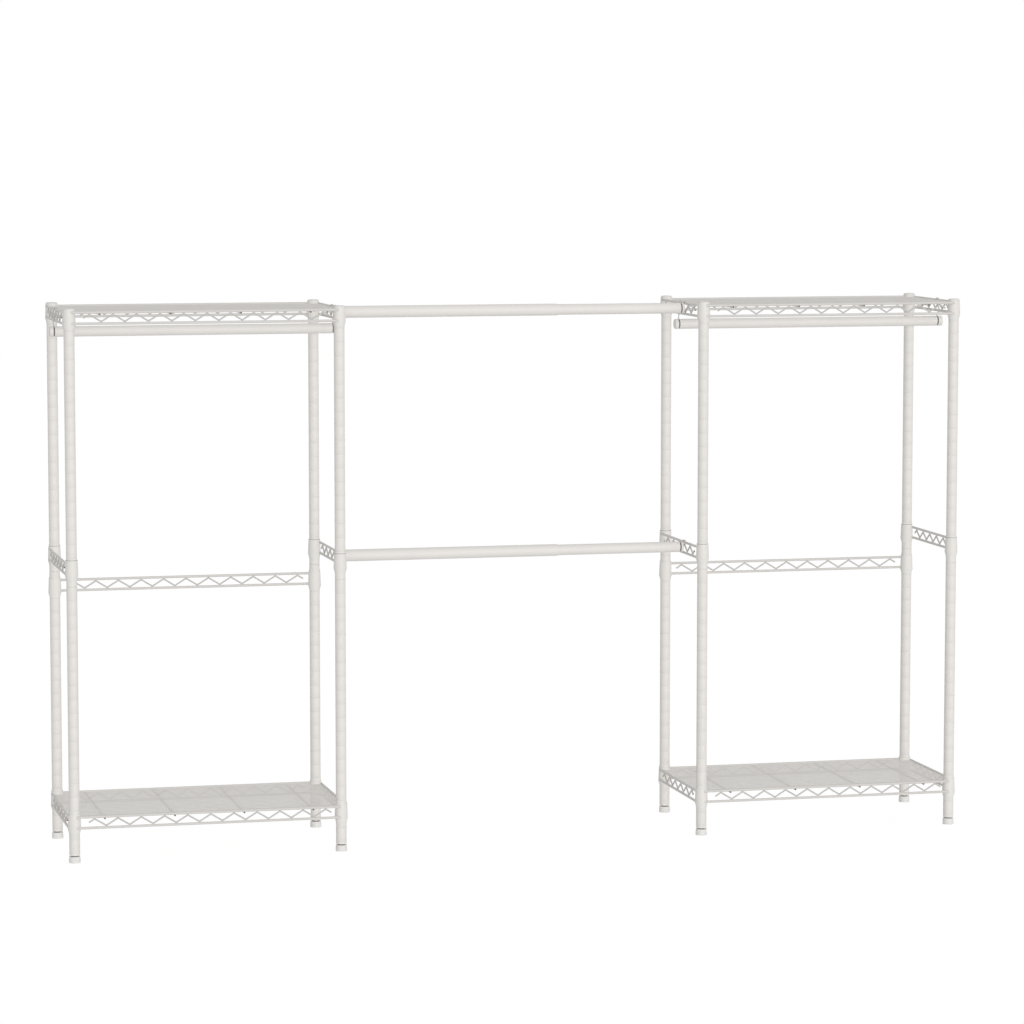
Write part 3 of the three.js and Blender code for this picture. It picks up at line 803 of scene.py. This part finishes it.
left_x = axis_of("left_outer_front_foot")[0]
tower_width = axis_of("left_inner_front_foot")[0] - left_x
tower_depth = 2 * axis_of("left_outer_back_foot")[1]
long_sizes = {
    "Length": tower_width,
    "End Short": WIRE_END_SHORT,
    "Outset": TRUSS_OUTSET,
    "Rise": TRUSS_RISE,
    "Inset": LONG_INSET,
    "Shift": LONG_SHIFT,
    "Peaks": LONG_PEAKS,
    "Peaks Up": 1,  # or -1 for a zigzag the other way up
    "Wire Radius": FRAME_WIRE_RADIUS,
    "Zigzag Radius": ZIGZAG_RADIUS,
    "Sink": WELD_SINK,
    "Bend": ZIGZAG_BEND,
    "Bead": BEAD_SIZE,
    "Bore Bottom": cone(collar_bottom),
    "Bore Top": cone(collar_top),
    "Bore Height": collar_top - collar_bottom,
    "Bore Start": collar_bottom,
}
side_sizes = {
    "Length": tower_depth,
    "Inset": SIDE_INSET,
    "Shift": SIDE_SHIFT,
    "Peaks": SIDE_PEAKS,
}
sizes = interface(truss_tree, long_sizes)
half = sizes["Length"] / 2
wire_end = half - sizes["End Short"]
outset = sizes["Outset"]
upper = straight(vector(0 - wire_end, outset, 0), vector(wire_end, outset, 0))
fall = 0 - sizes["Rise"]
lower = straight(vector(0 - wire_end, outset, fall), vector(wire_end, outset, fall))
high = sizes["Sink"] - sizes["Wire Radius"] - sizes["Zigzag Radius"]
low = fall - high
pitch = (sizes["Length"] - 2 * sizes["Inset"]) / (sizes["Peaks"] - 1)
index = sizes.node("GeometryNodeInputIndex")
first = index.equals(0)
last = index.equals(2 * sizes["Peaks"])
corner_x = (
    sizes["Inset"] + sizes["Shift"] - half
    + (index - 1) * pitch / 2
    + (first - last) * pitch / 4
)
corner_share = index % 2 + (first + last) / 2 - 0.5
corner_z = (low + high) / 2 + (high - low) * corner_share * sizes["Peaks Up"]
rough_line = {"Curve": upper, "Count": 2 * sizes["Peaks"] + 1}
corners = upper.node("GeometryNodeResampleCurve", rough_line, mode="COUNT")
bent = {"Geometry": corners, "Position": vector(corner_x, outset, corner_z)}
zigzag = corners.node("GeometryNodeSetPosition", bent)
rounding = {
    "Curve": zigzag,
    "Radius": sizes["Bend"],
    "Count": BEND_STEPS,
    "Limit Radius": True,
}
soft_zigzag = zigzag.node("GeometryNodeFilletCurve", rounding, mode="POLY")
bead = sizes.node("GeometryNodeMeshIcoSphere", {"Radius": 1.0, "Subdivisions": BEAD_SPLITS})
towards_wire = (index % 2 * 2 - 1) * sizes["Zigzag Radius"] * sizes["Peaks Up"]
bead_places = {"Geometry": zigzag, "Offset": vector(0, 0, towards_wire)}
raised = zigzag.node("GeometryNodeSetPosition", bead_places)
beads = raised.node(
    "GeometryNodeInstanceOnPoints",
    {"Points": raised, "Selection": 1 - first - last, "Instance": bead, "Scale": sizes["Bead"]},
)
bore_cone = {
    "Vertices": COLLAR_SIDES,
    "Radius Bottom": sizes["Bore Bottom"],
    "Radius Top": sizes["Bore Top"],
    "Depth": sizes["Bore Height"],
}
bores = []
for end in (-1, 1):
    cone_shape = sizes.node("GeometryNodeMeshCone", bore_cone)
    place = {"Geometry": cone_shape, "Translation": vector(half * end, 0, sizes["Bore Start"])}
    bores.append(cone_shape.node("GeometryNodeTransform", place))
cut = sizes.node("GeometryNodeMeshBoolean", operation="DIFFERENCE", solver="EXACT")
wires = [round_wire(line, sizes["Wire Radius"], WIRE_SIDES) for line in (upper, lower)]
cut.tree.links.new(together(*wires).socket, cut.socket.node.inputs["Mesh 1"])
for bore_shape in bores:
    cut.tree.links.new(bore_shape.socket, cut.socket.node.inputs["Mesh 2"])
bent_wire = round_wire(soft_zigzag, sizes["Zigzag Radius"], ZIGZAG_SIDES)
finished((together(cut, beads), wire_coat), (bent_wire, shaded_thin_wire_coat))


def truss(name, changes):
    """A truss along X, its upper wire's axis at height 0, of long_sizes with some changed."""
    mesh = grown(name, truss_tree, {**long_sizes, **changes})
    paint_end_shade(mesh, ZIGZAG_SIDES)
    return mesh


back_truss = truss("back_truss", {})
front_truss = truss("front_truss", {"Shift": -LONG_SHIFT})
side_truss = truss("side_truss", side_sizes)
flipped_truss = truss("flipped_truss", {**side_sizes, "Peaks Up": -1})
HALF_TURN = Matrix.Rotation(math.pi, 4, "Z")
TO_PLUS_X = Matrix.Rotation(-math.pi / 2, 4, "Z")
TO_MINUS_X = Matrix.Rotation(math.pi / 2, 4, "Z")


# Wire shelves
# A truss on each of the four sides, a collar at each corner, and a deck of thin wires that
# run lengthwise over four cross wires. Everything is resistance welded, then coated.
DECK_WIRES = 17
DECK_WIRE_RADIUS = 0.0022
CROSS_WIRES = 4
CROSS_WIRE_RADIUS = 0.0030
CROSS_INSET = 0.106  # first cross wire from the post axis
CROSS_OVERHANG = 0.004  # past the front and back wires' axes
DECK_SIDES = 12
# The deck wires wear the posts' coat too. This darker copy of it is painted shade.
TINT_DECK_SHADED = tuple(0.80 * part for part in TINT_COAT)
shaded_deck_coat = powder_coat("shaded_deck_coat", TINT_DECK_SHADED)
cross_height = -FRAME_WIRE_RADIUS - CROSS_WIRE_RADIUS + 2 * WELD_SINK
deck_sizes = {
    "Width": tower_width,
    "Depth": tower_depth,
    "Outset": TRUSS_OUTSET,
    "Collar Reach": cone(0) + COLLAR_WALL / 2,
    "Deck Wires": DECK_WIRES,
    "Deck Radius": DECK_WIRE_RADIUS,
    "Deck Height": cross_height + CROSS_WIRE_RADIUS + DECK_WIRE_RADIUS - WELD_SINK,
    "Cross Wires": CROSS_WIRES,
    "Cross Radius": CROSS_WIRE_RADIUS,
    "Cross Height": cross_height,
    "Cross Inset": CROSS_INSET,
    "Overhang": CROSS_OVERHANG,
}
deck_tree = bpy.data.node_groups.new("shelf_deck", "GeometryNodeTree")


def spaced(count, start, step):
    """A row of points at equal steps."""
    line = {"Count": count, "Start Location": start, "Offset": step}
    return start.node("GeometryNodeMeshLine", line, mode="OFFSET")


def repeated(shape, places):
    """The same shape at each of several points."""
    copies = {"Points": places, "Instance": shape}
    return places.node("GeometryNodeInstanceOnPoints", copies)


sizes = interface(deck_tree, deck_sizes)
half_width = sizes["Width"] / 2
half_depth = sizes["Depth"] / 2
deck_pitch = sizes["Depth"] / (sizes["Deck Wires"] + 1)
deck_start = vector(0, deck_pitch - half_depth, sizes["Deck Height"])
deck_places = spaced(sizes["Deck Wires"], deck_start, vector(0, deck_pitch, 0))
edge_start = vector(0, 0 - half_depth, sizes["Deck Height"])
edge_places = spaced(2, edge_start, vector(0, sizes["Depth"], 0))
cross_pitch = (sizes["Width"] - 2 * sizes["Cross Inset"]) / (sizes["Cross Wires"] - 1)
cross_start = vector(sizes["Cross Inset"] - half_width, 0, sizes["Cross Height"])
cross_places = spaced(sizes["Cross Wires"], cross_start, vector(cross_pitch, 0, 0))
deck_end = half_width + sizes["Outset"]
deck_line = straight(vector(0 - deck_end, 0, 0), vector(deck_end, 0, 0))
deck_wire = round_wire(deck_line, sizes["Deck Radius"], DECK_SIDES)
edge_end = half_width - sizes["Collar Reach"]
edge_line = straight(vector(0 - edge_end, 0, 0), vector(edge_end, 0, 0))
edge_wire = round_wire(edge_line, sizes["Deck Radius"], DECK_SIDES)
cross_end = half_depth + sizes["Outset"] + sizes["Overhang"]
cross_line = straight(vector(0, 0 - cross_end, 0), vector(0, cross_end, 0))
cross_wire = round_wire(cross_line, sizes["Cross Radius"], WIRE_SIDES)
long_wires = together(repeated(deck_wire, deck_places), repeated(edge_wire, edge_places))
# The cross wires take the zigzag's darker coat, as painted shade under the deck.
finished((long_wires, shaded_deck_coat), (repeated(cross_wire, cross_places), shaded_thin_wire_coat))
deck = grown("deck", deck_tree, deck_sizes)
paint_end_shade(deck, WIRE_SIDES)
shelf_parts = [
    (deck, UNTURNED),
    (back_truss, Matrix.Translation((0, tower_depth / 2, 0))),
    (front_truss, Matrix.Translation((0, -tower_depth / 2, 0)) @ HALF_TURN),
    (side_truss, Matrix.Translation((tower_width / 2, 0, 0)) @ TO_PLUS_X),
    (side_truss, Matrix.Translation((-tower_width / 2, 0, 0)) @ TO_MINUS_X),
]
for x in (-tower_width / 2, tower_width / 2):
    for y in (-tower_depth / 2, tower_depth / 2):
        shelf_parts.append((collar_shape, Matrix.Translation((x, y, 0))))
shelf_shape = welded("wire_shelf", shelf_parts)


def wire_height(node):
    """Height of the axis of a node's upper wire."""
    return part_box(node)[1].z - COLLAR_ABOVE


def add_sleeves(tower, name, shape, height, corners):
    """Sleeves round the posts at a shelf's or truss's corners, given by column and row."""
    for column, row in corners:
        place = (*axis_of(f"{tower}_{column}_{row}_foot"), height)
        piece(f"{name}_{column}_{row}_sleeve", shape, f"{tower}_tower", (), place)


for tower in TOWERS:
    for level, shape in (("bottom", lipped_sleeve), ("top", flush_sleeve)):
        node = f"{tower}_{level}_shelf"
        place = (*axis_of(node), wire_height(node))
        piece(f"{node}_welded", shelf_shape, f"{tower}_tower", [node], place)
        corners = [(column, row) for column in COLUMNS for row in ROWS]
        add_sleeves(tower, node, shape, place[2], corners)


# Middle trusses
# Loose trusses brace the posts half way up: one on each side of a tower, the inner of which
# carries the lower telescopic rod, and one a little lower across its back.
FLIPPED = "right_inner_side_truss"  # welded with its zigzag the other way up
ENDS = (-0.5, 0.5)
side_collars = [(collar_shape, Matrix.Translation((0, end * tower_depth, 0))) for end in ENDS]
back_collars = [(collar_shape, Matrix.Translation((end * tower_width, 0, 0))) for end in ENDS]
side_brace = welded("side_brace", [(side_truss, TO_PLUS_X), *side_collars])
flipped_brace = welded("flipped_brace", [(flipped_truss, TO_PLUS_X), *side_collars])
back_brace = welded("back_brace", [(back_truss, UNTURNED), *back_collars])
for tower, side in TOWERS.items():
    for column in COLUMNS:
        node = f"{tower}_{column}_side_truss"
        x = axis_of(f"{tower}_{column}_front_foot")[0]
        place = (x, 0, wire_height(node))
        turn = HALF_TURN if (column == "outer") == (side < 0) else None
        shape = flipped_brace if node == FLIPPED else side_brace
        piece(f"{node}_welded", shape, f"{tower}_tower", [node], place, turn)
        add_sleeves(tower, node, open_sleeve, place[2], [(column, row) for row in ROWS])
    node = f"{tower}_back_truss"
    place = (axis_of(node)[0], tower_depth / 2, wire_height(node))
    piece(f"{node}_welded", back_brace, f"{tower}_tower", [node], place)
    add_sleeves(tower, node, lipped_sleeve, place[2], [(column, "back") for column in COLUMNS])


# Hanging rods
# A coated steel tube under each top shelf. A moulded plug closes each end: its stem is
# pushed into the tube, and the hook's ring lies in the neck between tube and head.
ROD_RADIUS = 0.0185
ROD_WALL = 0.0012
ROD_EDGE = 0.0006
NECK_RADIUS = 0.011
NECK_WIDTH = 0.005
PLUG_STEM = 0.020
HEAD_ROUNDING = 0.0025
ROD_SIDES = 56
ROD_SHIFTS = {"left": -0.0015, "right": -0.0048}  # each rod hangs a little off its tower's middle
HEAD_SHORT = 0.0038  # by how much the heads that face -X are shorter than the others
ALONG_X = Matrix.Rotation(math.pi / 2, 4, "Y")
ALONG_MINUS_X = Matrix.Rotation(-math.pi / 2, 4, "Y")
rod_coat = powder_coat("rod_coat", TINT_COAT)
plug_plastic = moulded_plastic("plug_plastic", TINT_PLASTIC)


def neck_ring(start):
    """A thin ring of painted shade on the deep surface of a neck, from where it starts along the
    rod.
    """
    outline = [(NECK_RADIUS - FIT_GAP, start), (NECK_RADIUS + FIT_GAP, start)]
    outline += [(radius, start + NECK_WIDTH) for radius, _ in reversed(outline)]
    return turned("neck_ring", outline, ROD_SIDES, shaded_plastic), UNTURNED


for tower, side in TOWERS.items():
    node = f"{tower}_hanging_rod"
    low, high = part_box(node)
    middle = (low + high) / 2 + Vector((ROD_SHIFTS[tower], 0, 0))
    half = (high.x - low.x) / 2
    tube_outline = [
        Vector((ROD_RADIUS - ROD_WALL, -half)),
        Vector((ROD_RADIUS, -half)),
        Vector((ROD_RADIUS, half)),
        Vector((ROD_RADIUS - ROD_WALL, half)),
    ]
    rounded = eased(tube_outline, ROD_EDGE, closed=True)
    tube_shape = turned("hanging_tube", rounded, ROD_SIDES, rod_coat)
    piece(f"{node}_tube", tube_shape, f"{tower}_rod", [node], middle, ALONG_X)
    for end, direction in (("outer", side), ("inner", -side)):
        plug_node = f"{tower}_{end}_rod_plug"
        low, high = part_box(plug_node)
        head_end = (high.x - low.x) - PLUG_STEM - (HEAD_SHORT if direction < 0 else 0)
        stem_and_neck = [
            Vector((0, -PLUG_STEM)),
            Vector((ROD_RADIUS - ROD_WALL - FIT_GAP, -PLUG_STEM)),
            Vector((ROD_RADIUS - ROD_WALL - FIT_GAP, 0)),
            Vector((NECK_RADIUS, 0)),
            Vector((NECK_RADIUS, NECK_WIDTH)),
            Vector((ROD_RADIUS, NECK_WIDTH)),
        ]
        head = [
            Vector((ROD_RADIUS, NECK_WIDTH)),
            Vector((ROD_RADIUS, head_end)),
            Vector((0, head_end)),
        ]
        outline = eased(stem_and_neck, ROD_EDGE)[:-1] + eased(head, HEAD_ROUNDING, steps=6)
        plug = turned("rod_plug", outline, ROD_SIDES, plug_plastic)
        plug_shape = welded("necked_plug", [(plug, UNTURNED), neck_ring(0)])
        place = (middle.x + direction * half, middle.y, middle.z)
        turn = ALONG_X if direction > 0 else ALONG_MINUS_X
        name = f"{plug_node}_head"
        piece(name, plug_shape, f"{tower}_rod", [plug_node], place, turn)


# Rod hooks
# Each rod hangs by two hooks of bent wire. A ring goes round the rod's neck, and the wire
# rises beside the truss and goes over its upper wire, with its tip turned down.
HOOK_RADIUS = 0.002
RING_GAP = 0.0006  # between a neck and the ring round it
HANGING_REACH = 0.0035  # from the truss wire's axis outwards to a centred rod's neck
SPAN_REACH = 0.016
HANGING_DROP = 0.0785  # from the truss wire's axis down to the rod's
SPAN_DROP = 0.0175
HOOK_LEAN_SHARE = 0.2  # of the rise over which a hanging hook's wire leans to the truss
HOOK_BEND = 0.006
RING_STEPS = 36
ARCH_STEPS = 10
SHORT_ARCH_START = 2  # a short hook's wire meets the arch this many steps up
END_LENGTH = 0.3  # of an eased wire end, in wire radii
END_SHARE = 0.7  # of the radius left at its face
# The hooks wear the posts' coat too. This darker copy of it is painted shade.
TINT_HOOK_SHADED = tuple(0.66 * part for part in TINT_COAT)
HOOK_TIP_DROP = 0.008
HOOK_TIP_FLARE = 0.0012
HOOK_SIDES = 14
shaded_hook_coat = powder_coat("shaded_hook_coat", TINT_HOOK_SHADED)
shaded_coat = powder_coat("shaded_coat", TINT_SHADED)  # of the rings, deep in the necks


def end_face(ring, length):
    """The smaller ring at the face of a wire's end, a length past its last full ring."""
    point, side, across, along = ring
    return point + along * length, side * END_SHARE, across * END_SHARE, along


def swept(name, path, radius, sides, finish, closed=False):
    """A round wire along a path, its ends closed and slightly eased."""
    bm = bmesh.new()
    count = len(path)
    rings = []
    normal = None
    for i, point in enumerate(path):
        before = path[i - 1] if closed or i > 0 else point
        after = path[(i + 1) % count] if closed or i < count - 1 else point
        along = (after - before).normalized()
        if normal is None:
            normal = along.orthogonal()
        normal = (normal - along * normal.dot(along)).normalized()
        across = along.cross(normal)
        rings.append((point, normal.copy(), across, along))
    if not closed:
        rings.insert(0, end_face(rings[0], -radius * END_LENGTH))
        rings.append(end_face(rings[-1], radius * END_LENGTH))
    loops = []
    for point, side, across, _ in rings:
        loop = []
        for k in range(sides):
            angle = math.tau * k / sides
            offset = side * math.cos(angle) + across * math.sin(angle)
            loop.append(bm.verts.new(point + offset * radius))
        loops.append(loop)
    pairs = list(zip(loops, loops[1:]))
    if closed:
        pairs.append((loops[-1], loops[0]))
    for here, there in pairs:
        for k in range(sides):
            j = (k + 1) % sides
            bm.faces.new((here[k], here[j], there[j], there[k]))
    if not closed:
        bm.faces.new(loops[0])
        bm.faces.new(loops[-1])
    return crisp(bm, name, finish)


def hook(name, reach, drop, head_radius, long):
    """A ring at the given reach and a wire from it over a truss wire at the origin's x."""
    ring_radius = NECK_RADIUS + RING_GAP + HOOK_RADIUS
    ring_path = []
    for i in range(RING_STEPS):
        angle = math.tau * i / RING_STEPS
        across, up = ring_radius * math.sin(angle), ring_radius * math.cos(angle)
        ring_path.append(Vector((reach, across, up)))
    over_head = head_radius + FIT_GAP + HOOK_RADIUS
    arch = FRAME_WIRE_RADIUS + FIT_GAP + HOOK_RADIUS
    path = [Vector((reach, 0, ring_radius)), Vector((reach, 0, over_head))]
    if long:
        path.append(Vector((arch, 0, over_head + (drop - over_head) * HOOK_LEAN_SHARE)))
        path.append(Vector((arch, 0, drop)))
    for i in range(1 if long else SHORT_ARCH_START, ARCH_STEPS + 1):
        angle = math.pi * i / ARCH_STEPS
        path.append(Vector((arch * math.cos(angle), 0, drop + arch * math.sin(angle))))
    path.append(Vector((-arch - HOOK_TIP_FLARE, 0, drop - HOOK_TIP_DROP)))
    path = eased(path, HOOK_BEND, steps=4)
    wire = swept(name, path, HOOK_RADIUS, HOOK_SIDES, shaded_hook_coat)
    ring = swept(name, ring_path, HOOK_RADIUS, HOOK_SIDES, shaded_coat, closed=True)
    return welded(name, [(wire, UNTURNED), (ring, UNTURNED)])


for tower, side in TOWERS.items():
    low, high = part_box(f"{tower}_hanging_rod")
    middle = (low + high) / 2
    for column, direction in (("outer", side), ("inner", -side)):
        node = f"{tower}_{column}_rod_hook"
        reach = HANGING_REACH + direction * ROD_SHIFTS[tower]
        shape = hook("hanging_hook", reach, HANGING_DROP, ROD_RADIUS, long=True)
        truss_x = axis_of(f"{tower}_{column}_front_foot")[0] + direction * TRUSS_OUTSET
        place = (truss_x, middle.y, middle.z)
        turn = None if direction > 0 else HALF_TURN
        piece(f"{node}_bent", shape, f"{tower}_tower", [node], place, turn)


# Telescopic rods
# Between the towers an outer and an inner tube slide in each other. The outer one's open
# end is drawn in to guide the inner one. Short plugged heads close the hung ends.
OUTER_RADIUS = 0.0215
INNER_RADIUS = 0.0195
DRAWN_LENGTH = 0.014  # of the outer tube's drawn end
SPAN_EDGE = 0.0007
span_hook = hook("span_hook", SPAN_REACH, SPAN_DROP, OUTER_RADIUS, long=False)
span_tubes = (("outer", "left", OUTER_RADIUS, -1), ("inner", "right", INNER_RADIUS, 1))
for level in ("upper", "lower"):
    for label, tower, radius, direction in span_tubes:
        node = f"{level}_span_{label}_tube"
        low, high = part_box(node)
        middle = (low + high) / 2
        hung_end = low.x if direction < 0 else high.x
        free_end = high.x if direction < 0 else low.x
        truss_x = axis_of(f"{tower}_inner_front_foot")[0] - direction * TRUSS_OUTSET
        ring_x = truss_x - direction * SPAN_REACH
        neck_start = -NECK_WIDTH / 2
        head_end = abs(hung_end - ring_x)
        length = abs(free_end - ring_x)
        bore_radius = radius - TUBE_WALL
        plugged_bore = [
            Vector((0, neck_start - PLUG_STEM)),
            Vector((bore_radius, neck_start - PLUG_STEM)),
        ]
        mouth = [Vector((bore_radius, -length)), Vector((radius, -length))]
        if label == "outer":
            drawn = INNER_RADIUS + FIT_GAP
            mouth = [
                Vector((bore_radius, DRAWN_LENGTH - length)),
                Vector((drawn, -length)),
                Vector((drawn + TUBE_WALL, -length)),
                Vector((radius, DRAWN_LENGTH - length)),
            ]
        head = [
            Vector((radius, neck_start)),
            Vector((NECK_RADIUS, neck_start)),
            Vector((NECK_RADIUS, neck_start + NECK_WIDTH)),
            Vector((radius, neck_start + NECK_WIDTH)),
            Vector((radius, head_end)),
            Vector((0, head_end)),
        ]
        outline = eased(plugged_bore + mouth + head, SPAN_EDGE, steps=4)
        plain_tube = turned(node, outline, ROD_SIDES, rod_coat)
        tube = welded("necked_tube", [(plain_tube, UNTURNED), neck_ring(neck_start)])
        body = f"{tower}_tower"
        place = (ring_x, middle.y, middle.z)
        turn = ALONG_X if direction > 0 else ALONG_MINUS_X
        piece(f"{node}_drawn", tube, body, [node], place, turn)
        node = f"{level}_span_{tower}_hook"
        place = (truss_x, middle.y, middle.z)
        turn = None if direction < 0 else HALF_TURN
        piece(f"{node}_bent", span_hook, body, [node], place, turn)
